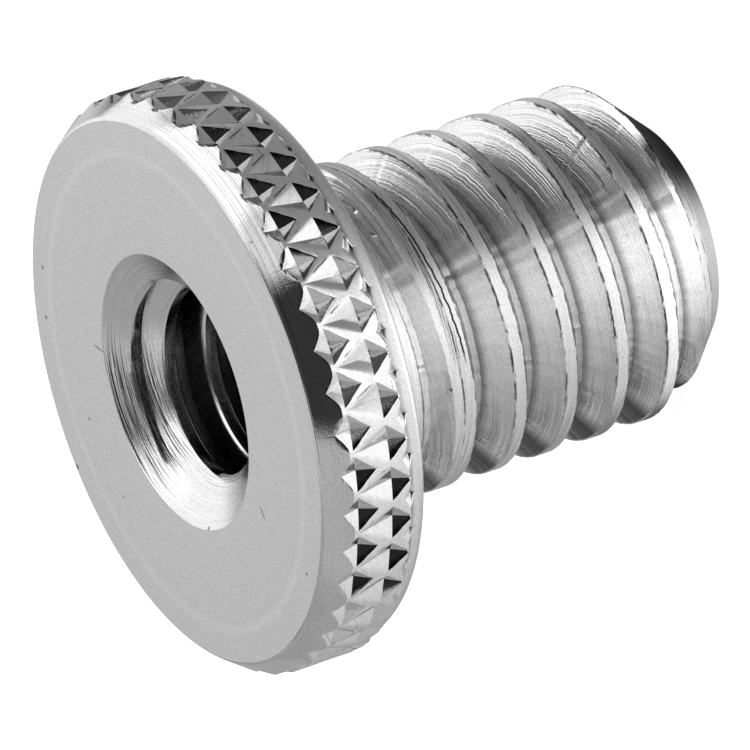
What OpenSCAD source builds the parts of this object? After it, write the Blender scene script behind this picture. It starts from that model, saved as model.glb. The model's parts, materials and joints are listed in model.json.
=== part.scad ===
// Thread adapter: a knurled round head with a tapped hole, and a threaded shank.
// It stands on the free end of its shank, with its axis on Z and the head face on top.
// Depths in the head are counted down from the head face.

/* [Head] */
// Diameter over the knurled ridges
head_d = 16; // [15.6:0.1:18]
// Thickness of the head
head_h = 3.1; // [3:0.05:4]
// Depth of the bevel between the head face and the knurl
face_bevel_h = 0.7; // [0.4:0.05:0.9]
// Width of that bevel, measured across the face
face_bevel_w = 0.5; // [0.3:0.05:0.9]
// Depth at which the knurled band starts to fall to the smooth band
knurl_fall_from = 2.25; // [1.9:0.05:2.3]
// Depth at which the smooth band starts
knurl_fall_to = 2.6; // [2.4:0.05:2.65]
// How far the smooth band lies below the ridges
land_drop = 0.22; // [0.2:0.01:0.5]
// Radius of the edge between the smooth band and the underside
rear_round = 0.4; // [0.1:0.05:0.4]

/* [Knurl] */
// Pits in one row around the head
pit_count = 43; // [36:1:43]
// Depth of the middle of the first row of pits below the head face
pit_row_first = 0.82; // [0.7:0.01:0.9]
// Distance from one row of pits to the next
pit_row_step = 1.04; // [0.95:0.01:1.1]
// Width of a pit around the head
pit_w = 0.96; // [0.5:0.02:0.98]
// Length of a pit from its widest place towards the head face
pit_fore_l = 0.93; // [0.5:0.01:0.95]
// Length of a pit from its widest place towards the shank
pit_aft_l = 0.61; // [0.3:0.01:0.65]
// Distance of the deepest point behind the widest place
pit_apex_shift = 0.1; // [0:0.01:0.2]
// Depth of a pit below the ridges
pit_depth = 0.28; // [0.1:0.01:0.32]
// Depth of the middle of the faint last row below the head face
last_row = 2.56; // [2.5:0.01:2.62]
// Width of a pit of the last row around the head
last_w = 0.5; // [0.3:0.02:0.56]
// Length of a pit of the last row from its widest place towards the head face
last_fore_l = 0.28; // [0.2:0.01:0.34]
// Length of a pit of the last row from its widest place towards the shank
last_aft_l = 0.3; // [0.2:0.01:0.34]
// Depth of a pit of the last row below the surface there
last_depth = 0.1; // [0.05:0.01:0.13]

/* [Shank] */
// Length of the shank below the head
shank_l = 11.9; // [9:0.1:20]
// Diameter over the crests of the male thread
male_d = 9.25; // [9:0.05:9.5]
// Pitch of the male thread
male_pitch = 1.5875; // [1.55:0.0005:1.65]
// Width of the flat crests of the male thread
male_crest_w = 0.35; // [0.3:0.01:0.45]
// Width of the flat roots of the male thread
male_root_w = 0.19; // [0.1:0.01:0.25]
// Diameter of the flat end of the shank
end_face_d = 6.5; // [6.2:0.05:7.1]
// Height of the bevel at the end of the shank
end_bevel_h = 1.45; // [1:0.05:1.8]
// Height of the upper edge of the thread above the end of the shank, on the +X side
male_start_h = 9.065; // [8.5:0.005:9.5]
// Distance from the head to the upper edge of the thread groove where it ends
thread_end_l = 0.62; // [0.5:0.02:1.2]
// Turns over which the thread groove fades out towards the head
fade_turns = 1.08; // [0.6:0.02:1.4]
// Distance from the head to the shallow relief groove
relief_l = 1.74; // [1.2:0.02:2.2]
// Width of the relief groove at the surface of the shank
relief_w = 0.6; // [0.4:0.02:0.9]

/* [Hole] */
// Diameter over the crests of the female thread
bore_d = 5.1; // [4.9:0.02:5.3]
// Diameter of the countersink at the head face
sink_d = 7.6; // [6.6:0.05:9]
// Full angle of the countersink
sink_angle = 110; // [82:1:120]
// Width of the small bevel at the far end of the hole
exit_bevel = 0.3; // [0.1:0.02:0.4]

/* [Hidden] */

// Segments of the turned surfaces
$fn = 180;
// How far a cutter runs past the surface that it cuts
overrun = 0.25;
// How far the pits' open ends stand off the ridges
pit_overrun = 0.02;
// Steps of the thread groove in one turn
turn_steps = 40;
// Angle between a thread flank and a cut square to the axis
flank_angle = 30;
// Angle of the first row of pits around the head
pit_phase = 1.03;
// Depth that the thread groove keeps at its very end, as a share of its full depth
end_share = 0.05;

total_h = head_h + shank_l;
flank = tan(flank_angle);
male_r = male_d / 2;
groove_w = male_pitch - male_crest_w;
bore_r = bore_d / 2;
sink_h = (sink_d - bore_d) / 2 / tan(sink_angle / 2);

// The groove's open side reaches past the crests until half of a crest's width is left between turns
groove_past = male_crest_w / 4 / flank;

// Height of the groove's upper edge after a number of turns from the +X side, and the turns at its
// ends: the first lies below the shank, and at the last the groove has faded out
function edge_h(turns) = male_start_h + male_pitch * turns;
turns_first = -(male_start_h + overrun + male_crest_w) / male_pitch;
turns_last = (shank_l - thread_end_l - male_start_h) / male_pitch;
step_count = ceil((turns_last - turns_first) * turn_steps);
function step_turns(i) = turns_last - i / turn_steps;

// Width and depth of the groove. Towards its last end it fades out: its upper flank stays in place and
// its lower flank moves up
function fading(turns) = (1 - end_share) * max(0, 1 - (turns_last - turns) / fade_turns);
function opening(turns) = groove_w - (groove_w - male_root_w) * fading(turns);
function groove_depth(w) = (w - male_root_w) / 2 / flank;

// The four corners of the groove's section at a number of turns, the outer two beyond the crests
function groove_section(turns) =
    let (top = edge_h(turns), w = opening(turns), deep = groove_depth(w))
    [
        [male_r + groove_past, top + groove_past * flank],
        [male_r - deep, top - deep * flank],
        [male_r - deep, top - deep * flank - male_root_w],
        [male_r + groove_past, top - w - groove_past * flank]
    ];

// Turns a flat point (radius, height) to an angle around the axis
function around(p, angle) = [p[0] * cos(angle), p[0] * sin(angle), p[1]];

// Closed skin of the helical groove: bands of triangles between neighbouring sections, and two ends
module thread_groove() {
    sections = [for (i = [0:step_count]) groove_section(step_turns(i))];
    corners = len(sections[0]);
    points = [for (i = [0:step_count]) for (p = sections[i]) around(p, 360 * step_turns(i))];
    bands = [for (i = [0:step_count - 1]) for (j = [0:corners - 1])
        let (a = i * corners + j, b = i * corners + (j + 1) % corners)
        each [[a, a + corners, b + corners], [a, b + corners, b]]];
    upper_end = [for (j = [0:corners - 1]) j];
    lower_end = [for (j = [corners - 1:-1:0]) step_count * corners + j];
    polyhedron(points = points, faces = concat(bands, [upper_end], [lower_end]), convexity = 10);
}

// The turned outline of head and shank, as a half section from the head face down
module turned_outline() {
    head_r = head_d / 2;
    face_r = head_r - face_bevel_w;
    land_r = head_r - land_drop;
    relief_top = shank_l - relief_l;
    relief_deep = groove_depth(relief_w);
    polygon([
        [0, total_h],
        [face_r, total_h],
        [head_r, total_h - face_bevel_h],
        [head_r, total_h - knurl_fall_from],
        [land_r, total_h - knurl_fall_to],
        [land_r, shank_l + rear_round],
        for (a = [10:10:80])
            [land_r - rear_round * (1 - cos(a)), shank_l + rear_round * (1 - sin(a))],
        [land_r - rear_round, shank_l],
        [male_r, shank_l],
        [male_r, relief_top],
        [male_r - relief_deep, relief_top - relief_deep * flank],
        [male_r - relief_deep, relief_top - relief_deep * flank - male_root_w],
        [male_r, relief_top - relief_w],
        [male_r, end_bevel_h],
        [end_face_d / 2, 0],
        [0, 0]
    ]);
}

// The hole: a bore at the crests of the female thread, a wide countersink and a small bevel
module hole() {
    translate([0, 0, -overrun]) cylinder(r = bore_r, h = total_h + 2 * overrun);
    sink_grow = overrun * tan(sink_angle / 2);
    translate([0, 0, total_h - sink_h])
        cylinder(r1 = bore_r, r2 = sink_d / 2 + sink_grow, h = sink_h + overrun);
    translate([0, 0, -overrun])
        cylinder(r1 = bore_r + exit_bevel + overrun, r2 = bore_r, h = exit_bevel + overrun);
}

// One pit: a pyramid on a kite-shaped opening in the plane of Y and Z, pointing towards -X.
// shift is how far its deepest point lies below the widest place. The opening is drawn a little
// outside the surface.
module pit(w, fore, aft, deep, shift) {
    grow = (deep + pit_overrun) / deep;
    widest = shift * (grow - 1);
    polyhedron(
        points = [
            [-deep, 0, -shift],
            [pit_overrun, 0, fore * grow + widest],
            [pit_overrun, w / 2 * grow, widest],
            [pit_overrun, 0, widest - aft * grow],
            [pit_overrun, -w / 2 * grow, widest]
        ],
        faces = [[1, 2, 3, 4], [0, 2, 1], [0, 3, 2], [0, 4, 3], [0, 1, 4]]
    );
}

// A row of what is given, around the head on the radius of the ridges
module pit_row(depth_at, offset_share) {
    for (k = [0:pit_count - 1])
        rotate(pit_phase + (k + offset_share) * 360 / pit_count)
            translate([head_d / 2, 0, total_h - depth_at]) children();
}

// Radius of the head, without the pits, at a depth where the knurled band falls to the smooth band
function fall_r(depth) =
    let (fallen = (depth - knurl_fall_from) / (knurl_fall_to - knurl_fall_from))
    head_d / 2 - land_drop * max(0, min(1, fallen));

// The two full rows of the knurl and the faint row where it runs out
module knurl() {
    pit_row(pit_row_first, 0) pit(pit_w, pit_fore_l, pit_aft_l, pit_depth, pit_apex_shift);
    pit_row(pit_row_first + pit_row_step, 1 / 2)
        pit(pit_w, pit_fore_l, pit_aft_l, pit_depth, pit_apex_shift);
    // The faint pits have their sizes on the falling surface, and are drawn out to the ridges' radius
    deepest_r = fall_r(last_row) - last_depth;
    deep = head_d / 2 - deepest_r;
    fore = last_fore_l * deep / (fall_r(last_row - last_fore_l) - deepest_r);
    grow = deep / last_depth;
    pit_row(last_row, 0) pit(last_w * grow, fore, last_aft_l * grow, deep, 0);
}

// The whole adapter, turned, knurled and threaded from one bar
module adapter() {
    color("silver")
    difference() {
        rotate_extrude() turned_outline();
        hole();
        thread_groove();
        knurl();
    }
}

adapter();
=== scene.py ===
import json
import math

import bmesh
import bpy
import numpy as np
from mathutils import Matrix, Vector


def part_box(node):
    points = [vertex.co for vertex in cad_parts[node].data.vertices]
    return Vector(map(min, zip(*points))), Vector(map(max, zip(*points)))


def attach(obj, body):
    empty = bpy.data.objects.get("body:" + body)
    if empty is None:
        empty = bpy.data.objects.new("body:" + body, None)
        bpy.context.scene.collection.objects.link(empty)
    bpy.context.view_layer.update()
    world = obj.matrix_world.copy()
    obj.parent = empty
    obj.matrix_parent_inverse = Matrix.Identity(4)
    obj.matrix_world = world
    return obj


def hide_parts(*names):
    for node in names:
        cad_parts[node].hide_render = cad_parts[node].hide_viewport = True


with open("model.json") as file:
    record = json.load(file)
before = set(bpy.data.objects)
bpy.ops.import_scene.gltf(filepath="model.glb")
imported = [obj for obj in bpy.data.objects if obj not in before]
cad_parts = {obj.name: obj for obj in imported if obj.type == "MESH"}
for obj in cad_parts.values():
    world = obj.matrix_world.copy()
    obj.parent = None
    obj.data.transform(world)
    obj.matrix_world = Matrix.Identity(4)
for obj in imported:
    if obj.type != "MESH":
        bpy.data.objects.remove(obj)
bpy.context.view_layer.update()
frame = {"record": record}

# Sizes are in millimetres, with the free end of the shank at height 0, as in the frame.
# Depths in the head are counted down from the head face.
MM = 0.001

# What the frame says of the adapter
low_corner, high_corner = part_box("adapter")
TOTAL_H = high_corner[2] / MM
HEAD_R = high_corner[0] / MM
BORE_R = next(m["dims"]["r_mm"] for m in frame["record"]["mounts"] if m["name"] == "female_thread")
MALE_R = next(m["dims"]["r_mm"] for m in frame["record"]["mounts"] if m["name"] == "male_thread")

# Head
HEAD_H = 3.1
FACE_R = 7.5
LAND_R = 7.78
FACE_BEVEL_H = 0.7
# Radius of the rounding between the face and its bevel
FACE_ROUND = 0.16
# Depths where the knurled band starts to fall, and where the smooth band starts
KNURL_FALL_FROM = 2.4
KNURL_FALL_TO = 2.62
REAR_ROUND = 0.4

# Knurl: two rows of pits and the faint last row. The two lengths of a pit are from its widest place
# towards the face and towards the shank
PIT_COUNT = 43
# Angle of the first row of pits round the head, in degrees
PIT_PHASE = 1.03
PIT_ROW_FIRST = 0.81
PIT_ROW_STEP = 1.04
PIT_W = 1.0
PIT_FORE_L = 0.99
PIT_AFT_L = 0.63
PIT_APEX_SHIFT = 0.16
PIT_DEPTH = 0.3
LAST_ROW = 2.54
LAST_W = 0.62
LAST_FORE_L = 0.3
LAST_AFT_L = 0.3
LAST_DEPTH = 0.14

# Male thread. The groove ends below the head, where it has faded out to a small share of its depth
MALE_PITCH = 1.5875
MALE_CREST_W = 0.35
MALE_ROOT_W = 0.19
MALE_START_H = 9.065
THREAD_END_L = 0.62
FADE_TURNS = 1.08
END_SHARE = 0.05
RELIEF_L = 1.74
RELIEF_W = 0.6
END_FACE_R = 3.25
END_BEVEL_H = 1.45
FLANK = math.tan(math.radians(30))

# Female thread
FEMALE_PITCH = 1.27
FEMALE_MAJOR_R = 3.14
FEMALE_ROOT_W = 0.23
FEMALE_START_DEPTH = 0.804
SINK_R = 3.8
SINK_ANGLE = math.radians(55)
EXIT_BEVEL = 0.3

SHANK_L = TOTAL_H - HEAD_H
# Slope of the bevel, where the rounding of its upper edge starts on the face, and angles along that rounding
FACE_SLOPE = math.atan2(FACE_BEVEL_H, HEAD_R - FACE_R)
FACE_FLAT_R = FACE_R - FACE_ROUND * math.tan(FACE_SLOPE / 2)
ROUNDING = FACE_SLOPE * np.linspace(0, 1, 5)


# Mesh helpers

class Skin:
    """Collects points and faces of one closed surface, with a finish number for each face."""

    def __init__(self):
        self.points = []
        self.faces = []
        self.finishes = []
        self.count = 0

    def add(self, points):
        start = self.count
        self.points.append(points.reshape(-1, 3))
        self.count += points.size // 3
        return start

    def grid(self, radius, angle, height, finish, climb=0):
        """Faces between rows of points that go round the axis.

        Arrays are rows by columns, in mm and radians. A row that has gone once round meets the row that is
        climb rows before it.
        """
        rows, columns = radius.shape
        start = self.add(np.stack([radius * np.cos(angle), radius * np.sin(angle), height], axis=-1))
        index = start + np.arange(rows * columns).reshape(rows, columns)
        nxt = np.roll(index, -1, axis=1)
        nxt[:, -1] = index[np.clip(np.arange(rows) - climb, 0, rows - 1), 0]
        quads = np.stack([index[1:], nxt[1:], nxt[:-1], index[:-1]], axis=-1).reshape(-1, 4)
        self.faces.extend(quads.tolist())
        self.finishes.extend([finish] * len(quads))

    def ring_of_rings(self, outer, inner, height, finish, upward):
        """A flat ring between two circles of points, each given as a radius and its angles."""
        r_out, a_out = outer
        r_in, a_in = inner

        def flat(r, a):
            return np.stack([r * np.cos(a), r * np.sin(a), np.full_like(a, height)], axis=-1)

        start_out = self.add(flat(r_out, a_out))
        start_in = self.add(flat(r_in, a_in))
        i = j = 0
        count_out, count_in = len(a_out), len(a_in)
        turn = 2 * math.pi
        while i < count_out or j < count_in:
            next_out = a_out[(i + 1) % count_out] + turn * ((i + 1) // count_out)
            next_in = a_in[(j + 1) % count_in] + turn * ((j + 1) // count_in)
            here_out = start_out + i % count_out
            here_in = start_in + j % count_in
            if j == count_in or (i < count_out and next_out <= next_in):
                face = (here_out, start_out + (i + 1) % count_out, here_in)
                i += 1
            else:
                face = (here_out, start_in + (j + 1) % count_in, here_in)
                j += 1
            self.faces.append(face if upward else face[::-1])
            self.finishes.append(finish)


def smooth_min(a, b, width):
    """The lesser of two, with the corner between them rounded over a width."""
    blend = np.clip(0.5 + 0.5 * (b - a) / width, 0, 1)
    return b + (a - b) * blend - width * blend * (1 - blend)


# Head

def envelope(depth):
    """Radius of the turned head, without the knurl, at a depth below the face."""
    rear = HEAD_H - depth
    turned = np.interp(
        depth,
        [*(FACE_ROUND * (1 - np.cos(ROUNDING))), FACE_BEVEL_H, KNURL_FALL_FROM, KNURL_FALL_TO, HEAD_H],
        [*(FACE_FLAT_R + FACE_ROUND * np.sin(ROUNDING)), HEAD_R, HEAD_R, LAND_R, LAND_R],
    )
    inset = np.clip(1 - rear / REAR_ROUND, 0, 1)
    return turned - REAR_ROUND * (1 - np.sqrt(np.clip(1 - inset ** 2, 0, 1)))


def pit_level(across, along, pit):
    """How far out of a pit a point lies: 0 at its deepest point and 1 on its edge.

    across and along are measured from the pit's widest place.
    """
    half_w, fore, aft, apex = pit["half_w"], pit["fore"], pit["aft"], pit["apex"]
    fore_side = np.abs(across) * fore / ((fore + apex) * half_w) - (along - apex) / (fore + apex)
    aft_side = np.abs(across) * aft / ((aft - apex) * half_w) + (along - apex) / (aft - apex)
    return np.maximum(fore_side, aft_side)


def pit_half_width(along, pit, level):
    """Half the width of a pit at a level and a distance behind its widest place."""
    half_w, fore, aft, apex = pit["half_w"], pit["fore"], pit["aft"], pit["apex"]
    fore_side = (level + (along - apex) / (fore + apex)) * (fore + apex) * half_w / fore
    aft_side = (level - (along - apex) / (aft - apex)) * (aft - apex) * half_w / aft
    return np.clip(np.minimum(fore_side, aft_side), 0, None)


def full_pit(depth_at, shift):
    return {"at": depth_at, "shift": shift, "half_w": PIT_W / 2, "fore": PIT_FORE_L, "aft": PIT_AFT_L,
            "apex": PIT_APEX_SHIFT, "deep": PIT_DEPTH}


def faint_pit():
    """A pit of the last row. Its sizes are on the falling surface and are drawn out to the ridges' radius."""
    deepest_r = envelope(LAST_ROW) - LAST_DEPTH
    deep = HEAD_R - deepest_r
    grow = deep / LAST_DEPTH
    fore = LAST_FORE_L * deep / (envelope(LAST_ROW - LAST_FORE_L) - deepest_r)
    return {"at": LAST_ROW, "shift": 0.0, "half_w": LAST_W / 2 * grow, "fore": fore, "aft": LAST_AFT_L * grow,
            "apex": 0.0, "deep": deep}


# Rows of pits. shift is how far a row is turned round the head, in pitches
PIT_ROWS = (full_pit(PIT_ROW_FIRST, 0.0), full_pit(PIT_ROW_FIRST + PIT_ROW_STEP, 0.5), faint_pit())
# Width over which the ridges between the pits are rounded
RIDGE_ROUND = 0.028
# Points across half a pit and across a ridge, and half the least width that a pit's points take up
PIT_COLUMNS = 4
RIDGE_COLUMNS = 3
NARROWEST = 0.04
LEAST_RIDGE = 0.01
# Depth where the points of the first row's pits start on the bevel, and the distances between rows of points
PIT_TIPS_FROM = 0.43
BEVEL_ROW_STEP = 0.03
ROW_STEP = 0.05
LEAST_ROW_STEP = 0.012
# How far above and below a pit's widest place the rows bend towards its deepest point
BEND_REACH = 0.3


def head_rows():
    """Depths of the rows of points down the head's rim."""
    rear = HEAD_H - REAR_ROUND * (1 - np.sin(np.radians(np.arange(0, 91, 10))))
    keys = [*(FACE_ROUND * (1 - np.cos(ROUNDING))), FACE_BEVEL_H, PIT_ROW_FIRST, PIT_ROW_FIRST + PIT_ROW_STEP,
            KNURL_FALL_FROM, LAST_ROW, KNURL_FALL_TO]
    on_bevel = np.arange(PIT_TIPS_FROM, FACE_BEVEL_H, BEVEL_ROW_STEP)
    below = np.arange(FACE_BEVEL_H + ROW_STEP, rear[0] - ROW_STEP / 2, ROW_STEP)
    rows = [d for d in np.concatenate([on_bevel, below]) if min(abs(d - k) for k in keys) > LEAST_ROW_STEP]
    return np.array(sorted(set(rows + keys) | set(rear)))


def head_rim(skin):
    """The knurled rim with its bevel, and the smooth band behind it. Returns the angles of its end rows."""
    depths = head_rows()
    pitch = 2 * math.pi * HEAD_R / PIT_COUNT
    centre = pitch / 2
    # Half widths of the pits at each row, for the two places of a pitch where pits lie
    even = np.full_like(depths, NARROWEST)
    odd = np.full_like(depths, NARROWEST)
    for pit in PIT_ROWS:
        level = 1 - (HEAD_R - envelope(depths)) / pit["deep"]
        width = pit_half_width(depths - pit["at"], pit, level)
        if pit["shift"]:
            odd = np.maximum(odd, width)
        else:
            even = np.maximum(even, width)
    even = np.minimum(even, pitch - odd - NARROWEST)
    # Columns of one pitch: half a pit, a ridge, a whole pit of the other row, a ridge and half a pit
    half = []
    for e, o in zip(even, odd):
        ridge_to = centre - o
        ridge_from = min(e, ridge_to - LEAST_RIDGE)
        half.append(np.concatenate([
            np.linspace(0, ridge_from, PIT_COLUMNS + 1)[:-1],
            np.linspace(ridge_from, ridge_to, RIDGE_COLUMNS + 1)[:-1],
            np.linspace(ridge_to, centre, PIT_COLUMNS + 1)[:-1],
        ]))
    half = np.array(half)
    other = pitch - half[:, ::-1]
    tile = np.concatenate([half, np.full((len(depths), 1), centre), other[:, :-1]], axis=1)
    # Rows bend down by the shift of the deepest point under the middle of each pit
    bend = np.zeros_like(tile)
    for pit in PIT_ROWS[:2]:
        off = (tile - pit["shift"] * pitch + centre) % pitch - centre
        near = np.clip(1 - np.abs(off) / pit["half_w"], 0, 1)
        bend += pit["apex"] * near * np.clip(1 - np.abs(depths[:, None] - pit["at"]) / BEND_REACH, 0, 1)
    depth = depths[:, None] + bend
    # The surface itself
    turned = envelope(depth)
    radius = turned.copy()
    for pit in PIT_ROWS:
        off = (tile - pit["shift"] * pitch + centre) % pitch - centre
        floor = HEAD_R - pit["deep"] * (1 - pit_level(off, depth - pit["at"], pit))
        radius = np.where(floor < turned + RIDGE_ROUND, smooth_min(radius, floor, RIDGE_ROUND), radius)
    radius = np.minimum(radius, turned)
    angles = [math.radians(PIT_PHASE) + tile / HEAD_R + k * 2 * math.pi / PIT_COUNT for k in range(PIT_COUNT)]
    angle = np.concatenate(angles, axis=1)
    radius = np.tile(radius, (1, PIT_COUNT))
    height = TOTAL_H - np.tile(depth, (1, PIT_COUNT))
    band = int(np.searchsorted(depths, KNURL_FALL_TO))
    skin.grid(radius[:band + 1], angle[:band + 1], height[:band + 1], RIM)
    skin.grid(radius[band:], angle[band:], height[band:], BAND)
    return angle[0], angle[-1]


# Male thread

GROOVE_W = MALE_PITCH - MALE_CREST_W
THREAD_LAST = (SHANK_L - THREAD_END_L - MALE_START_H) / MALE_PITCH
RELIEF_TOP = SHANK_L - RELIEF_L
SHANK_COLUMNS = 240
# The thread's turns, counted from the first that starts above the shank's end on the +X side: from above the
# head's underside down to below the end
TOP_TURN, BOTTOM_TURN = 2, -8
# The greatest distance by which the crests' edges stray, and the share of it that most steps keep to
RAG = 0.022
SMALL_RAG = 0.35
RAG_STEPS = 4096
# The edges stray where the groove has this share of its width
RAG_FROM = 0.6


def ragged(seed):
    """Small uneven steps along a helical edge, from -1 to 1, one for each column. One in five is large."""
    steps = np.random.default_rng(seed).uniform(-1, 1, RAG_STEPS)
    large = np.random.default_rng(seed + 1).uniform(0, 1, RAG_STEPS) > 0.8
    return np.where(large, steps, SMALL_RAG * steps)


UPPER_RAG, LOWER_RAG = ragged(3), ragged(11)


def wander(turns, steps):
    """How far a crest's edge strays at a number of turns, in mm."""
    column = np.round((turns + 10) * SHANK_COLUMNS).astype(int)
    return RAG * steps[column % len(steps)]


def male_width(at):
    """Width of the groove at a number of turns."""
    fading = (1 - END_SHARE) * np.clip(1 - (THREAD_LAST - at) / FADE_TURNS, 0, 1)
    width = GROOVE_W - (GROOVE_W - MALE_ROOT_W) * fading
    return width + np.where(width > GROOVE_W * RAG_FROM, wander(at, LOWER_RAG) + wander(at, UPPER_RAG), 0)


def male_edge(at):
    """Height of the groove's upper edge at a number of turns."""
    return MALE_START_H + MALE_PITCH * at + wander(at, UPPER_RAG)


def vee(below, width):
    """Depth of a groove at a distance below its upper edge."""
    sloped = np.minimum(below, width - below) / FLANK
    return np.clip(np.minimum(sloped, (width - MALE_ROOT_W) / 2 / FLANK), 0, None)


def shank_radius(turns, height):
    """Radius of the threaded shank at a number of turns round, counted from the +X side, and a height."""
    radius = MALE_R - vee(RELIEF_TOP - height, RELIEF_W)
    base = turns - np.floor(turns)
    for turn in range(BOTTOM_TURN, TOP_TURN):
        at = base + turn
        back = THREAD_LAST - at
        cut = vee(male_edge(at) - height, male_width(at))
        radius = np.where(back >= 0, np.minimum(radius, MALE_R - cut), radius)
    bevel = END_FACE_R + (MALE_R - END_FACE_R) * np.clip(height, 0, None) / END_BEVEL_H
    return np.minimum(radius, bevel)


FLANK_STEPS = 3


def groove_rows(width):
    """Distances below a groove's upper edge of the rows of points over one pitch."""
    run = (width - MALE_ROOT_W) / 2
    share = np.linspace(0, 1, FLANK_STEPS + 1)
    return np.concatenate([
        run * share,
        run + MALE_ROOT_W + run * share,
        [width + (MALE_PITCH - width) / 2],
    ])


def shank(skin):
    """The shank from the head's underside to its end. Its rows of points climb with the thread."""
    columns = np.arange(SHANK_COLUMNS) / SHANK_COLUMNS
    rows = []
    for turn in range(TOP_TURN, BOTTOM_TURN - 1, -1):
        at = columns + turn
        width = male_width(at)
        per_row = np.array([groove_rows(w) for w in width]).T
        rows.extend(male_edge(at) - per_row)
    heights = np.array(rows)
    angle = np.broadcast_to(2 * math.pi * columns, heights.shape)
    turns = np.broadcast_to(columns, heights.shape)
    relief_low = RELIEF_TOP - RELIEF_W
    for top, bottom, finish in ((SHANK_L, RELIEF_TOP, SHANK), (RELIEF_TOP, relief_low, THREAD),
                                (relief_low, END_BEVEL_H, THREAD), (END_BEVEL_H, 0, THREAD)):
        part = np.clip(heights, bottom, top)
        skin.grid(shank_radius(turns, part), angle, part, finish, per_row.shape[0])
    return columns * 2 * math.pi


# Female thread

BORE_COLUMNS = 108
FEMALE_FLANK_STEPS = 3
# Depth over which the edges of the female thread's crests are rounded
FEMALE_ROUND = 0.08
# The female thread's turns, from above the face down to below the far end
FEMALE_TURNS = range(-2, 15)


def sink_radius(depth):
    """Radius of the countersink at a depth below the face."""
    return SINK_R - depth * math.tan(SINK_ANGLE)


def bore_radius(turns, height):
    """Radius of the tapped hole at a number of turns round and a height."""
    depth = TOTAL_H - height
    deep = FEMALE_MAJOR_R - BORE_R
    # Distance past the groove's upper root edge, within a pitch
    past = depth - FEMALE_START_DEPTH + FEMALE_PITCH * turns
    past = (past + FEMALE_PITCH / 2) % FEMALE_PITCH - FEMALE_PITCH / 2
    out = np.maximum(-past, past - FEMALE_ROOT_W)
    radius = FEMALE_MAJOR_R - np.clip(smooth_min(out / FLANK, deep, FEMALE_ROUND), 0, deep)
    radius = np.maximum(radius, sink_radius(depth))
    return np.maximum(radius, BORE_R + EXIT_BEVEL - height)


def bore(skin):
    """The tapped hole. Its rows of points climb with the thread, closest on the crests' rounded edges."""
    columns = np.arange(BORE_COLUMNS) / BORE_COLUMNS
    run = (FEMALE_MAJOR_R - BORE_R) * FLANK
    share = np.linspace(0, 1, FEMALE_FLANK_STEPS + 1)
    crest = FEMALE_PITCH - FEMALE_ROOT_W - 2 * run
    edge = FEMALE_ROUND * FLANK * np.array([0.5, -0.3, -0.8])
    offsets = np.concatenate([
        -run - edge,
        run * share[1:] - run,
        FEMALE_ROOT_W + run * share[:-1],
        FEMALE_ROOT_W + run + edge[::-1],
        [FEMALE_ROOT_W + run + crest / 2],
    ])
    rows = []
    for turn in FEMALE_TURNS:
        starts = FEMALE_START_DEPTH + FEMALE_PITCH * (turn - columns)
        rows.extend(TOTAL_H - (starts[None, :] + offsets[:, None]))
    heights = np.array(rows)
    angle = np.broadcast_to(2 * math.pi * columns, heights.shape)
    turns = np.broadcast_to(columns, heights.shape)
    part = np.clip(heights, 0, TOTAL_H)
    skin.grid(bore_radius(turns, part)[::-1], angle, part[::-1], BORE, -len(offsets))
    return columns * 2 * math.pi


# Finishes, by the number that the skin's faces carry
FACE, RIM, BAND, UNDERSIDE, SHANK, THREAD, END, BORE = range(8)
# Points closer than this are joined, and edges that turn by more than this angle stay sharp
JOIN_WITHIN = 0.0002
SHARP_ANGLE = math.radians(24)


def build_adapter():
    """The whole adapter as one closed skin."""
    skin = Skin()
    top_ring, seat_ring = head_rim(skin)
    shank_ring = shank(skin)
    bore_ring = bore(skin)
    skin.ring_of_rings((FACE_FLAT_R, top_ring), (SINK_R, bore_ring), TOTAL_H, FACE, True)
    skin.ring_of_rings((LAND_R - REAR_ROUND, seat_ring), (MALE_R, shank_ring), SHANK_L, UNDERSIDE, False)
    exit_r = bore_radius(bore_ring / (2 * math.pi), np.zeros_like(bore_ring))
    skin.ring_of_rings((END_FACE_R, shank_ring), (exit_r, bore_ring), 0.0, END, False)
    points = np.concatenate(skin.points) * MM
    mesh = bpy.data.meshes.new("turned_adapter")
    mesh.from_pydata(points.tolist(), [], skin.faces)
    mesh.polygons.foreach_set("material_index", skin.finishes)
    work = bmesh.new()
    work.from_mesh(mesh)
    bmesh.ops.remove_doubles(work, verts=work.verts, dist=JOIN_WITHIN * MM)
    for edge in work.edges:
        edge.smooth = len(edge.link_faces) == 2 and edge.calc_face_angle(0) < SHARP_ANGLE
    for face in work.faces:
        face.smooth = True
    work.to_mesh(mesh)
    work.free()
    piece = bpy.data.objects.new("turned_adapter", mesh)
    bpy.context.collection.objects.link(piece)
    return piece


adapter = build_adapter()


# Node helpers

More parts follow.
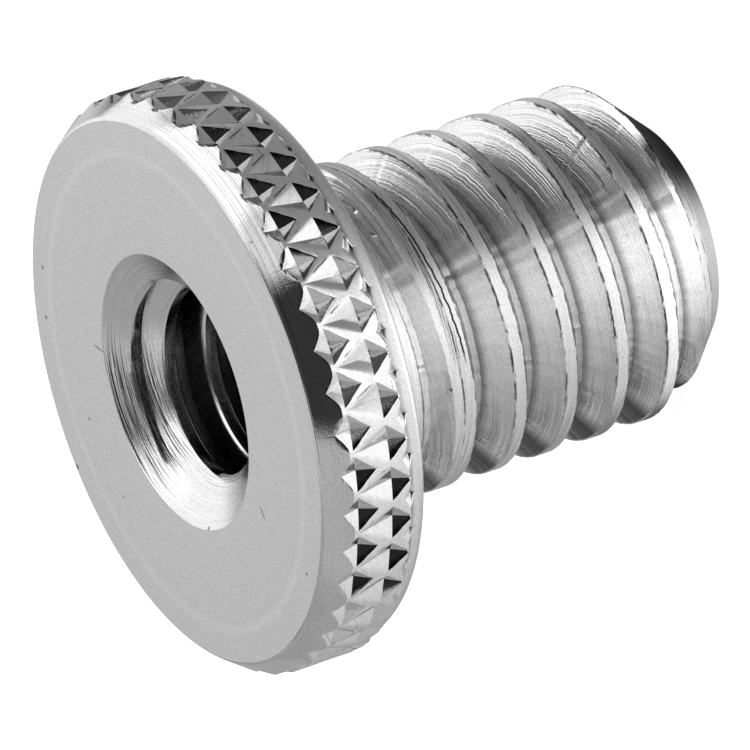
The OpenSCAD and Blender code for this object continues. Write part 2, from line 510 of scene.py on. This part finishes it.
class Nodes:
    """Short ways to add and join nodes in one tree.

    A value may be a number, a tuple or another node's output.
    """

    def __init__(self, tree):
        self.tree = tree

    def add(self, kind, **settings):
        node = self.tree.nodes.new(kind)
        for key, value in settings.items():
            setattr(node, key, value)
        return node

    def put(self, socket, value):
        if isinstance(value, bpy.types.NodeSocket):
            self.tree.links.new(value, socket)
        else:
            socket.default_value = value

    def fill(self, node, *values):
        """Puts values into a node's first sockets. Returns its first output."""
        for socket, value in zip(node.inputs, values):
            self.put(socket, value)
        return node.outputs[0]

    def math(self, operation, *values, clamp=False):
        return self.fill(self.add("ShaderNodeMath", operation=operation, use_clamp=clamp), *values)

    def times(self, first, *others):
        """Product of two or more values."""
        for other in others:
            first = self.math("MULTIPLY", first, other)
        return first

    def vector(self, x, y, z):
        return self.fill(self.add("ShaderNodeCombineXYZ"), x, y, z)

    def parts(self, vector):
        """The X, Y and Z of a vector."""
        node = self.add("ShaderNodeSeparateXYZ")
        self.put(node.inputs[0], vector)
        return node.outputs

    def scaled(self, vector, factor):
        node = self.add("ShaderNodeVectorMath", operation="SCALE")
        self.put(node.inputs[0], vector)
        self.put(node.inputs["Scale"], factor)
        return node.outputs[0]

    def even(self, value, low, high, out_low, out_high):
        """Goes evenly from one level to another while a value goes from low to high."""
        return self.fill(self.add("ShaderNodeMapRange"), value, low, high, out_low, out_high)

    def smooth(self, value, low, high, out_low=0.0, out_high=1.0):
        """Eases from one level to another while a value goes from low to high."""
        node = self.add("ShaderNodeMapRange", interpolation_type="SMOOTHSTEP")
        return self.fill(node, value, low, high, out_low, out_high)

    def near(self, value, middle, inner, outer, at_middle=1.0, outside=0.0):
        """Eases from one level to another while a value's distance from a middle goes from inner to outer."""
        distance = self.math("ABSOLUTE", self.math("SUBTRACT", value, middle))
        return self.smooth(distance, inner, outer, at_middle, outside)

    def mix(self, share, first, second):
        """Blend of two colours."""
        node = self.add("ShaderNodeMix", data_type="RGBA")
        self.put(node.inputs["Factor"], share)
        self.put(node.inputs[6], first)
        self.put(node.inputs[7], second)
        return node.outputs[2]

    def noise(self, vector, w, scale, detail, roughness=0.55):
        node = self.add("ShaderNodeTexNoise", noise_dimensions="4D")
        self.put(node.inputs["Vector"], vector)
        self.put(node.inputs["W"], w)
        self.put(node.inputs["Scale"], scale)
        self.put(node.inputs["Detail"], detail)
        self.put(node.inputs["Roughness"], roughness)
        return node.outputs[0]

    def use(self, group, **values):
        """Places a node group. Spaces in its input names are written as underscores."""
        node = self.add("ShaderNodeGroup", node_tree=group)
        for key, value in values.items():
            self.put(node.inputs[key.replace("_", " ")], value)
        return node.outputs


def new_group(name, inputs, outputs):
    """An empty node group with named sockets.

    inputs gives a name, a kind and a default for each, outputs a name and a kind.
    """
    tree = bpy.data.node_groups.new(name, "ShaderNodeTree")
    for label, kind, default in inputs:
        socket = tree.interface.new_socket(name=label, in_out="INPUT", socket_type="NodeSocket" + kind)
        socket.default_value = default
    for label, kind in outputs:
        tree.interface.new_socket(name=label, in_out="OUTPUT", socket_type="NodeSocket" + kind)
    source = tree.nodes.new("NodeGroupInput")
    target = tree.nodes.new("NodeGroupOutput")
    return Nodes(tree), source.outputs, target.inputs


def grey(level):
    return (level, level, level, 1)


# Effects that several materials share

def turned_place():
    """Where a point lies on the turned part: radius and height in mm, and turns round the axis from +X."""
    n, _, out = new_group("turned_place", [], [("Radius", "Float"), ("Height", "Float"), ("Turns", "Float"),
                                               ("Around", "Vector")])
    x, y, z = n.parts(n.add("ShaderNodeTexCoord").outputs["Object"])
    radius = n.math("SQRT", n.math("ADD", n.times(x, x), n.times(y, y)))
    n.put(out["Radius"], n.math("DIVIDE", radius, MM))
    n.put(out["Height"], n.math("DIVIDE", z, MM))
    n.put(out["Turns"], n.math("DIVIDE", n.math("ARCTAN2", y, x), 2 * math.pi))
    n.put(out["Around"], n.vector(n.math("DIVIDE", x, radius), n.math("DIVIDE", y, radius), 0.0))
    return n.tree


PLACE = turned_place()
# How much closer the tool's lines lie across the head face than along the axis, and scratches than lines
FACE_LINES = 1.7
SCRATCH_LINES = 2.3


def tool_marks():
    """Fine lines that run round the axis, as a cutting tool leaves them, and a few deep scratches."""
    n, given, out = new_group("tool_marks",
                              [("Fineness", "Float", 6.0), ("Length", "Float", 1.0),
                               ("Contrast", "Float", 1.0)],
                              [("Marks", "Float"), ("Scratches", "Float")])
    place = n.use(PLACE)
    around = n.scaled(place["Around"], given["Length"])
    across = n.math("ADD", place["Height"], n.times(place["Radius"], FACE_LINES))
    across = n.times(across, given["Fineness"])
    fine = n.math("SUBTRACT", n.noise(around, across, 1.0, 1.5, 0.5), 0.5)
    n.put(out["Marks"], n.math("MULTIPLY_ADD", fine, given["Contrast"], 0.5, clamp=True))
    rare = n.noise(around, n.times(across, SCRATCH_LINES), 1.0, 1.0, 0.5)
    n.put(out["Scratches"], n.smooth(rare, 0.66, 0.74))
    return n.tree


# How many pores fit into the size of a grain, and the radii over which a pore fades, in cells of the pores
PORE_CELLS = 0.16
PORE_INNER, PORE_OUTER = 0.04, 0.12


def metal_grain():
    """Small uneven spots of the drawn and tumbled metal, and scattered dark pores."""
    n, given, out = new_group("metal_grain", [("Size", "Float", 0.1), ("Pores", "Float", 0.2)],
                              [("Grain", "Float"), ("Pores", "Float")])
    point = n.scaled(n.add("ShaderNodeTexCoord").outputs["Object"], n.math("DIVIDE", 1 / MM, given["Size"]))
    n.put(out["Grain"], n.noise(point, 0.0, 1.0, 3.0, 0.6))
    cells = n.add("ShaderNodeTexVoronoi")
    n.put(cells.inputs["Vector"], point)
    n.put(cells.inputs["Scale"], PORE_CELLS)
    dots = n.smooth(cells.outputs["Distance"], PORE_INNER, PORE_OUTER, 1.0, 0.0)
    pick = n.add("ShaderNodeSeparateColor")
    n.put(pick.inputs[0], cells.outputs["Color"])
    chosen = n.math("LESS_THAN", pick.outputs[0], given["Pores"])
    n.put(out["Pores"], n.times(dots, chosen))
    return n.tree


MARKS = tool_marks()
GRAIN = metal_grain()


def painted_crest_edge_shade():
    """Painted shade: broken dark lines along both edges of the male thread's crests, strongest on the
    camera's side.
    """
    n, _, out = new_group("painted_crest_edge_shade", [], [("Mask", "Float")])
    place = n.use(PLACE)
    climb = n.math("DIVIDE", n.math("SUBTRACT", place["Height"], MALE_START_H), MALE_PITCH)
    past = n.math("FRACT", n.math("SUBTRACT", climb, place["Turns"]))
    lower = n.math("MINIMUM", past, n.math("SUBTRACT", 1.0, past))
    upper = n.math("ABSOLUTE", n.math("SUBTRACT", past, MALE_CREST_W / MALE_PITCH))
    off = n.times(n.math("MINIMUM", lower, upper), MALE_PITCH)
    wobble = n.noise(place["Around"], n.times(place["Height"], 3.0), 28.0, 2.0)
    off = n.math("MULTIPLY_ADD", n.math("SUBTRACT", wobble, 0.5), 0.07, off)
    line = n.smooth(off, 0.014, 0.036, 1.0, 0.0)
    broken = n.smooth(n.noise(place["Around"], place["Height"], 9.0, 3.0), 0.4, 0.52)
    side = n.near(place["Turns"], -0.2, 0.12, 0.24, 1.0, 0.3)
    n.put(out["Mask"], n.times(line, broken, side))
    return n.tree


def speck():
    """A spot or short stroke on the head face. Its place and half sizes are in mm, its slant in radians."""
    n, given, out = new_group("speck",
                              [("X", "Float", 0.0), ("Y", "Float", 0.0), ("Half Length", "Float", 0.05),
                               ("Half Width", "Float", 0.05), ("Slant", "Float", 0.0)],
                              [("Mask", "Float")])
    point = n.scaled(n.add("ShaderNodeTexCoord").outputs["Object"], 1 / MM)
    move = n.add("ShaderNodeVectorMath", operation="SUBTRACT")
    n.fill(move, point, n.vector(given["X"], given["Y"], 0.0))
    turn = n.add("ShaderNodeVectorRotate", rotation_type="Z_AXIS")
    n.put(turn.inputs["Vector"], move.outputs[0])
    n.put(turn.inputs["Angle"], n.times(given["Slant"], -1.0))
    along, across, _ = n.parts(turn.outputs[0])
    along = n.math("DIVIDE", along, given["Half Length"])
    across = n.math("DIVIDE", across, given["Half Width"])
    far = n.math("ADD", n.times(along, along), n.times(across, across))
    n.put(out["Mask"], n.smooth(far, 0.5, 1.3, 1.0, 0.0))
    return n.tree


PAINTED_CREST_EDGE_SHADE = painted_crest_edge_shade()
SPECK = speck()


# Materials
# Places round the part are in turns from +X, which points up in the picture. The camera's side is at -0.25,
# and the far side at 0.25 is the left of the head face in the picture.

def level_of(n, value):
    """A number as it is, or what a function makes of it with nodes."""
    return value(n) if callable(value) else value


def steel(name, roughness, fineness, length, contrast, relief, anisotropy=0.5, grainy=0.3, scratched=0.5,
          dark=0.66, wear=None):
    """Turned steel: lines round the axis, a grain and pores, in colour, roughness and relief.

    roughness and contrast may be functions that add nodes. relief is in mm, and dark is the level of the
    lines' dark side. wear adds what only one surface has, its own marks and on some surfaces painted light
    and shade.
    """
    material = bpy.data.materials.new(name)
    material.use_nodes = True
    n = Nodes(material.node_tree)
    shader = material.node_tree.nodes["Principled BSDF"]
    shader.inputs["Metallic"].default_value = 1
    shader.inputs["Anisotropic"].default_value = anisotropy
    shader.inputs["Specular Tint"].default_value = grey(0.8)
    tangent = n.add("ShaderNodeTangent", direction_type="RADIAL", axis="Z")
    n.put(shader.inputs["Tangent"], tangent.outputs[0])
    marks = n.use(MARKS, Fineness=fineness, Length=length, Contrast=level_of(n, contrast))
    grain = n.use(GRAIN, Size=0.12, Pores=0.12)
    fine = n.use(GRAIN, Size=0.055, Pores=0.0)
    tone = n.mix(marks["Marks"], grey(dark), grey(1))
    tone = n.mix(n.smooth(fine["Grain"], 0.56, 0.38, 0.0, 0.3), tone, grey(0.4))
    if scratched:
        tone = n.mix(n.times(marks["Scratches"], scratched), tone, grey(0.12))
    tone = n.mix(n.times(grain["Pores"], 0.75), tone, grey(0.03))
    if wear:
        tone = wear(n, tone)
    n.put(shader.inputs["Base Color"], tone)
    base = level_of(n, roughness)
    rough = n.math("MULTIPLY_ADD", n.math("SUBTRACT", grain["Grain"], 0.5), grainy, base)
    n.put(shader.inputs["Roughness"], n.math("MULTIPLY_ADD", marks["Scratches"], 0.12, rough))
    bump = n.add("ShaderNodeBump")
    bump.inputs["Strength"].default_value = 1
    bump.inputs["Distance"].default_value = relief * MM
    n.put(bump.inputs["Height"], n.math("ADD", marks["Marks"], n.times(fine["Grain"], 0.6)))
    n.put(shader.inputs["Normal"], bump.outputs[0])
    return material


def thread_roughness(n):
    """The flanks are satin a little below the camera's side and brighter elsewhere."""
    return n.near(n.use(PLACE)["Turns"], -0.33, 0.09, 0.16, 0.25, 0.17)


def thread_contrast(n):
    """The tool's lines are strongest on the upper part of the thread, and again on its lowest part: real
    lines, with their extra strength there painted light and shade.
    """
    turns = n.use(PLACE)["Turns"]
    upper = n.near(turns, -0.11, 0.06, 0.11, 3.6, 0.8)
    return n.math("ADD", upper, n.near(turns, 0.0, 0.37, 0.42, 0.0, 3.5))


# Height a little below the countersink, where the look of the tapped hole begins
HOLE_TOP = 13.9


def sink_contrast(n):
    """The tool's lines are strong on the countersink and weak in the hole; their extra strength on its far
    side is painted light and shade.
    """
    place = n.use(PLACE)
    far_side = n.near(place["Turns"], 0.27, 0.06, 0.14, 3.0, 1.4)
    return n.times(far_side, n.smooth(place["Height"], HOLE_TOP, HOLE_TOP + 0.3, 0.1, 1.0))


def hole_wear(n, tone):
    """Painted shade: black streaks on the far side of the countersink, and the thread's grooves darkened
    deeper in the hole.
    """
    place = n.use(PLACE)
    shade_streak = n.noise(place["Around"], n.times(place["Height"], 34.0), 1.2, 2.0, 0.6)
    far_side = n.near(place["Turns"], 0.26, 0.05, 0.13, 0.95, 0.0)
    on_sink = n.smooth(place["Height"], HOLE_TOP, HOLE_TOP + 0.2)
    shade_streak = n.times(n.smooth(shade_streak, 0.5, 0.56), far_side, on_sink)
    tone = n.mix(shade_streak, tone, grey(0.015))
    # Painted shade in the grooves, deeper in the hole
    deeper = n.smooth(place["Height"], HOLE_TOP - 1.0, HOLE_TOP - 0.4, 0.8, 0.0)
    groove = n.smooth(place["Radius"], BORE_R + 0.03, BORE_R + 0.11)
    return n.mix(n.times(deeper, groove), tone, grey(0.03))


# Radius of the faint ring on the face where it lies furthest in, and how far it wanders out
RING_R = 6.4
RING_WANDER = 0.3
# Specks and short scratches on the face: place, half length and half width in mm, and slant in radians
FACE_SPECKS = (
    (4.3, 5.44, 0.07, 0.04, 0.6),
    (-1.06, 7.29, 0.08, 0.05, 0.2),
    (-5.58, -4.21, 0.05, 0.04, 0.0),
    (-3.74, -2.81, 0.22, 0.022, 0.1),
    (1.75, 3.65, 0.3, 0.02, 1.0),
    (-2.2, 5.1, 0.04, 0.03, 0.0),
)


def face_wear(n, tone):
    """The faint dashed ring near the rim of the face, a few dark specks and two short scratches."""
    place = n.use(PLACE)
    wobble = n.noise(place["Around"], 0.0, 6.0, 2.0)
    ring_r = n.math("MULTIPLY_ADD", wobble, RING_WANDER, RING_R)
    dashes = n.noise(place["Around"], n.times(place["Radius"], 6.0), 45.0, 3.0)
    ring = n.times(n.near(place["Radius"], ring_r, 0.03, 0.2), n.smooth(dashes, 0.4, 0.62), 0.5)
    tone = n.mix(ring, tone, grey(1))
    for x, y, length, width, slant in FACE_SPECKS:
        mark = n.use(SPECK, X=x, Y=y, Half_Length=length, Half_Width=width, Slant=slant)["Mask"]
        tone = n.mix(n.times(mark, 0.85), tone, grey(0.04))
    return tone


# Middle of the fold lines above the widest place of the second row's pits, and their place off the edge
FOLD_ABOVE = 0.42
FOLD_OFF = 0.05


def knurl_wear(n, tone):
    """Turned lines on the bevel, darkened mostly on the upper side as painted shade, and dark fold lines
    where metal was pushed up beside the second row.
    """
    place = n.use(PLACE)
    lines = n.noise(place["Around"], n.times(place["Radius"], 48.0), 1.2, 2.0)
    bevel_h = TOTAL_H - FACE_BEVEL_H
    lines = n.times(n.smooth(lines, 0.47, 0.62), n.smooth(place["Height"], bevel_h, bevel_h + 0.05))
    # Painted shade: the bevel's lines are darkest on the upper side
    upper = n.near(place["Turns"], -0.16, 0.05, 0.11, 0.6, 0.12)
    tone = n.mix(n.times(lines, upper), tone, grey(0.15))
    # Distances from a pit's widest place, across and up, and from its slanting upper edge
    pitch = 2 * math.pi * HEAD_R / PIT_COUNT
    across = n.math("MULTIPLY_ADD", place["Turns"], float(PIT_COUNT), -PIT_PHASE * PIT_COUNT / 360)
    across = n.times(n.math("SUBTRACT", n.math("FRACT", across), 0.5), pitch)
    along = n.math("SUBTRACT", TOTAL_H - PIT_ROW_FIRST - PIT_ROW_STEP, place["Height"])
    edge = math.hypot(PIT_FORE_L, PIT_W / 2)
    off = n.math("SUBTRACT", n.times(across, PIT_FORE_L / edge),
                 n.times(n.math("ADD", along, PIT_FORE_L), PIT_W / 2 / edge))
    wobble = n.noise(place["Around"], place["Height"], 30.0, 2.0)
    off = n.math("ADD", off, n.math("MULTIPLY_ADD", wobble, 0.08, -0.04))
    line = n.near(off, FOLD_OFF, 0.01, 0.03)
    reach = n.near(along, -FOLD_ABOVE, 0.2, 0.32)
    some = n.smooth(n.noise(place["Around"], 2.0, 14.0, 1.0), 0.4, 0.5)
    return n.mix(n.times(line, reach, some, 0.9), tone, grey(0.04))


# The crack on the first crest: its height at +X, its climb in a turn, the middle of its length in turns,
# and how far above it the torn streaks lie
CRACK_H = 9.4
CRACK_CLIMB = 2.448
CRACK_MIDDLE = -0.21
TORN_ABOVE = 0.24


def thread_wear(n, tone):
    """Painted shade in the roots, on the crests' edges, in the groove underneath and on the crests' upper
    side, and the crack and torn streaks on the first crest.
    """
    place = n.use(PLACE)
    # Painted shade: the thread's roots are darkened.
    tone = n.mix(n.smooth(place["Radius"], 3.74, 3.98, 0.4, 0.0), tone, grey(0.1))
    # Painted shade along the crests' edges
    tone = n.mix(n.times(n.use(PAINTED_CREST_EDGE_SHADE)["Mask"], 0.92), tone, grey(0.02))
    # Painted shade in the groove where it passes underneath in the picture, at half a turn, where Metallic is
    # lowered as well so that it stays black
    painted_valley_shade = n.times(n.near(place["Turns"], 0.0, 0.445, 0.482, 0.0, 1.0),
                    n.smooth(place["Radius"], MALE_R - 0.065, MALE_R - 0.015, 1.0, 0.0))
    tone = n.mix(painted_valley_shade, tone, grey(0.012))
    n.put(n.tree.nodes["Principled BSDF"].inputs["Metallic"], n.math("SUBTRACT", 1.0, painted_valley_shade))
    # Dark mottle on the crests: a mottle of the metal, made much stronger on the upper side as painted shade
    crest = n.smooth(place["Radius"], MALE_R - 0.125, MALE_R - 0.045)
    mottle_and_shade = n.noise(place["Around"], n.times(place["Height"], 7.0), 26.0, 3.0)
    upper = n.near(place["Turns"], -0.14, 0.05, 0.1, 1.0, 0.15)
    mottle_and_shade = n.times(n.smooth(mottle_and_shade, 0.5, 0.66, 0.0, 0.55), upper)
    tone = n.mix(n.times(mottle_and_shade, crest), tone, grey(0.12))
    wobble = n.noise(place["Around"], 1.0, 16.0, 3.0)
    path = n.math("MULTIPLY_ADD", place["Turns"], CRACK_CLIMB, CRACK_H)
    path = n.math("MULTIPLY_ADD", wobble, 0.14, path)
    above = n.math("SUBTRACT", place["Height"], path)
    reach = n.times(n.near(place["Turns"], CRACK_MIDDLE, 0.085, 0.105), crest)
    torn = n.smooth(n.noise(place["Around"], n.times(place["Height"], 14.0), 2.2, 4.0, 0.7), 0.46, 0.58)
    torn = n.times(torn, n.near(above, TORN_ABOVE, 0.08, 0.18), reach, 0.8)
    tone = n.mix(torn, tone, grey(0.06))
    return n.mix(n.times(n.near(above, 0.0, 0.016, 0.04), reach), tone, grey(0.01))


def add_steel(name, roughness, fineness, length, contrast, relief, **more):
    adapter.data.materials.append(steel(name, roughness, fineness, length, contrast, relief, **more))


# In the order of the finish numbers
add_steel("face_steel", 0.38, 4.0, 3.0, 0.1, 0.0015, anisotropy=0.0, scratched=0.0, dark=0.62, wear=face_wear)
add_steel("rim_steel", 0.08, 5.0, 4.0, 0.6, 0.003, anisotropy=0.2, grainy=0.1, wear=knurl_wear)
add_steel("band_steel", 0.4, 5.0, 4.0, 0.8, 0.004, anisotropy=0.2, grainy=0.2)
# The seat is made paler than the other steel so that the thread's flanks, which see it in reflection, come
# out brighter: painted light.
add_steel("seat_steel", 0.5, 6.0, 1.5, 0.3, 0.002, dark=0.85)
add_steel("shank_steel", 0.22, 11.0, 2.2, 2.2, 0.008)
add_steel("thread_steel", thread_roughness, 24.0, 0.8, thread_contrast, 0.006, grainy=0.2, dark=0.62,
          wear=thread_wear)
add_steel("end_steel", 0.3, 6.0, 1.5, 0.5, 0.004)
add_steel("bore_steel", 0.14, 14.0, 1.3, sink_contrast, 0.006, dark=0.6, wear=hole_wear)

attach(adapter, "root")
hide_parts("adapter")


# Floor

bpy.ops.mesh.primitive_plane_add(size=1.0, location=(0, 0, 0))
floor = bpy.context.object
floor.name = "floor"
# Levels of the floor: of its paper in plain light, and to the camera
PAPER_LEVEL = 0.65
CAMERA_LEVEL = 0.97


def paper():
    """Pale floor, white to the camera. It shines in the metal on the camera's side and keeps soft shadows."""
    material = bpy.data.materials.new("floor_paper")
    material.use_nodes = True
    n = Nodes(material.node_tree)
    shader = material.node_tree.nodes["Principled BSDF"]
    shader.inputs["Roughness"].default_value = 0.9
    shader.inputs["Specular IOR Level"].default_value = 0
    place = n.use(PLACE)
    radius = place["Radius"]
    # Turns round the part the other way, from 0 to 1 past the camera's side at a quarter
    past = n.math("FRACT", n.times(place["Turns"], -1.0))
    light = n.math("SUBTRACT", n.even(past, 0.29, 0.42, 0.88, 0.42), n.even(past, 0.42, 0.6, 0.0, 0.3))
    light = n.times(n.smooth(past, 0.165, 0.245), light, n.even(radius, 8.0, 12.0, 2.5, 1.0))
    # Next to the part's foot only a narrow place in front of it is light, and the far side is dim
    front = n.near(past, 0.325, 0.05, 0.15, 1.15, 0.42)
    foot = n.math("MULTIPLY_ADD", n.smooth(radius, 4.6, 6.5, 1.0, 0.0), n.math("SUBTRACT", front, 1.0), 1.0)
    dim = n.times(n.near(past, 0.7, 0.14, 0.22), n.smooth(radius, 8.0, 12.0, 0.8, 0.0))
    foot = n.times(foot, n.math("SUBTRACT", 1.0, dim))
    light = n.times(light, foot, n.smooth(radius, 4.3, 5.2, 0.42, 1.0))
    # The +X side is a little darker, and dark far out
    half_way = n.math("FRACT", n.math("ADD", past, 0.5))
    side_level = n.near(half_way, 0.5, 0.1, 0.2, 0.7, 1.0)
    dark = n.times(n.near(past, 0.92, 0.07, 0.1), n.smooth(radius, 40.0, 70.0, 0.0, 0.8))
    bright = n.math("SUBTRACT", 1.0, dark)
    # Two light patches beyond it, one near the part and one far out
    close_patch = n.times(n.near(past, 0.91, 0.05, 0.09, 0.35, 0.0), n.near(radius, 14.0, 4.0, 8.0))
    far_patch = n.times(n.near(past, 0.8, 0.03, 0.06, 0.35, 0.0), n.smooth(radius, 40.0, 55.0))
    light = n.math("ADD", n.times(light, bright), n.math("ADD", close_patch, far_patch))
    # The paper's colour carries painted shade: darker next to the part's foot, on the +X side and far out,
    # which the metal shows in its reflections.
    level = n.times(foot, side_level, bright, PAPER_LEVEL)
    n.put(shader.inputs["Base Color"], n.vector(level, level, level))
    rays = n.add("ShaderNodeLightPath")
    glow = n.add("ShaderNodeEmission")
    seen = n.times(rays.outputs["Is Glossy Ray"], light)
    seen = n.math("ADD", seen, n.times(rays.outputs["Is Camera Ray"], CAMERA_LEVEL))
    n.put(glow.inputs["Strength"], seen)
    both = n.add("ShaderNodeAddShader")
    n.put(both.inputs[0], shader.outputs[0])
    n.put(both.inputs[1], glow.outputs[0])
    n.put(material.node_tree.nodes["Material Output"].inputs["Surface"], both.outputs[0])
    return material


floor.data.materials.append(paper())


# Camera
# The part's axis as the camera sees it: how far it turns away and up in the picture, and the place of the
# middle of the head face in mm

AWAY = math.radians(26.1634)
UPWARD = math.radians(-18.1721)
FOCAL_PX = 12126.35
PICTURE_PX = 750
DISTANCE = 320.0
SHIFT_RIGHT = 5.2877
SHIFT_DOWN = 0.4574

axis = Vector((math.cos(AWAY) * math.cos(UPWARD), math.cos(AWAY) * math.sin(UPWARD), math.sin(AWAY)))
side = axis.cross(Vector((0, 0, 1))).normalized()
down = axis.cross(side)
right_way = Vector((side.x, -down.x, -axis.x))
up_way = Vector((-side.y, down.y, axis.y))
back_way = -Vector((side.z, -down.z, -axis.z))
camera_data = bpy.data.cameras.new("camera")
camera_data.sensor_width = 36
camera_data.lens = FOCAL_PX / PICTURE_PX * camera_data.sensor_width
camera = bpy.data.objects.new("camera", camera_data)
bpy.context.collection.objects.link(camera)
place = Vector((0, 0, TOTAL_H)) + SHIFT_RIGHT * right_way + SHIFT_DOWN * up_way + DISTANCE * back_way
turned = Matrix((right_way, up_way, back_way)).transposed()
camera.matrix_world = Matrix.Translation(place * MM) @ turned.to_4x4()
camera_data.clip_start = 0.01
camera_data.clip_end = 10
bpy.context.scene.camera = camera


# Light
# Directions are given in degrees: round the axis from +X, and up from level.

def light_window():
    """Mask of a soft-edged window of directions in the surroundings."""
    n, given, out = new_group("light_window",
                              [("Round", "Float", 0.0), ("Up", "Float", 0.0),
                               ("Middle Round", "Float", 0.0), ("Middle Up", "Float", 0.0),
                               ("Half Round", "Float", 30.0), ("Half Up", "Float", 20.0),
                               ("Edge", "Float", 8.0)],
                              [("Mask", "Float")])
    # Angle round from the window's middle, brought between -180 and 180
    off = n.math("WRAP", n.math("SUBTRACT", given["Round"], given["Middle Round"]), 180.0, -180.0)
    high = n.math("SUBTRACT", given["Up"], given["Middle Up"])
    masks = []
    for value, half in ((off, given["Half Round"]), (high, given["Half Up"])):
        inner = n.math("SUBTRACT", half, given["Edge"])
        outer = n.math("ADD", half, given["Edge"])
        masks.append(n.near(value, 0.0, inner, outer))
    n.put(out["Mask"], n.times(*masks))
    return n.tree


# Level of the surroundings where no window lies
PLAIN_LEVEL = 0.55
# Windows of the surroundings, laid over each other in turn:
# middle round, middle up, half round, half up, edge and level
SURROUNDINGS = (
    ("zenith", 0, 90, 181, 30, 6, 0.18),
    ("zenith_right", 120, 75, 62, 16, 8, 0.7),
    ("zenith_black", -85, 67, 28, 9, 5, 0.03),
    ("left_wall", -165, 20, 40, 32, 8, 0.5),
    ("front_gray", -40, 0, 110, 14, 5, 0.2),
    ("front_dark", -92, 39, 38, 19, 5, 0.04),
    ("front_black", -82, 19, 46, 7, 4, 0.0),
    ("fill", -38, 38, 18, 12, 5, 0.9),
    ("key", 6, 43, 32, 28, 5, 1.5),
    ("key_side", 54, 31, 25, 34, 5, 1.2),
    ("front_low", -10, 3, 37, 12, 4, 0.05),
    ("front_low_left", -32, 14, 15, 10, 3, 0.08),
    ("back_wall", 92, 25, 14, 22, 6, 0.68),
    ("right_wall", 136, 24, 34, 38, 6, 0.42),
)


def surroundings():
    """Grey surroundings made of the windows, white where the camera sees them."""
    world = bpy.data.worlds.new("studio")
    world.use_nodes = True
    n = Nodes(world.node_tree)
    shader = world.node_tree.nodes["Background"]
    x, y, z = n.parts(n.add("ShaderNodeTexCoord").outputs["Generated"])
    round_axis = n.math("DEGREES", n.math("ARCTAN2", y, x))
    up = n.math("DEGREES", n.math("ARCSINE", n.math("MINIMUM", n.math("MAXIMUM", z, -1.0), 1.0)))
    window = light_window()
    level = PLAIN_LEVEL
    for name, middle_round, middle_up, half_round, half_up, edge, strength in SURROUNDINGS:
        mask = n.use(window, Round=round_axis, Up=up, Middle_Round=float(middle_round),
                     Middle_Up=float(middle_up), Half_Round=float(half_round), Half_Up=float(half_up),
                     Edge=float(edge))["Mask"]
        blend = n.add("ShaderNodeMix", data_type="FLOAT", label=name)
        n.put(blend.inputs["Factor"], mask)
        n.put(blend.inputs[2], level)
        n.put(blend.inputs[3], strength)
        level = blend.outputs[0]
    rays = n.add("ShaderNodeLightPath")
    level = n.math("MAXIMUM", level, rays.outputs["Is Camera Ray"])
    n.put(shader.inputs["Color"], n.vector(level, level, level))
    shader.inputs["Strength"].default_value = 1
    return world


bpy.context.scene.world = surroundings()
bpy.context.scene.view_settings.view_transform = "Standard"
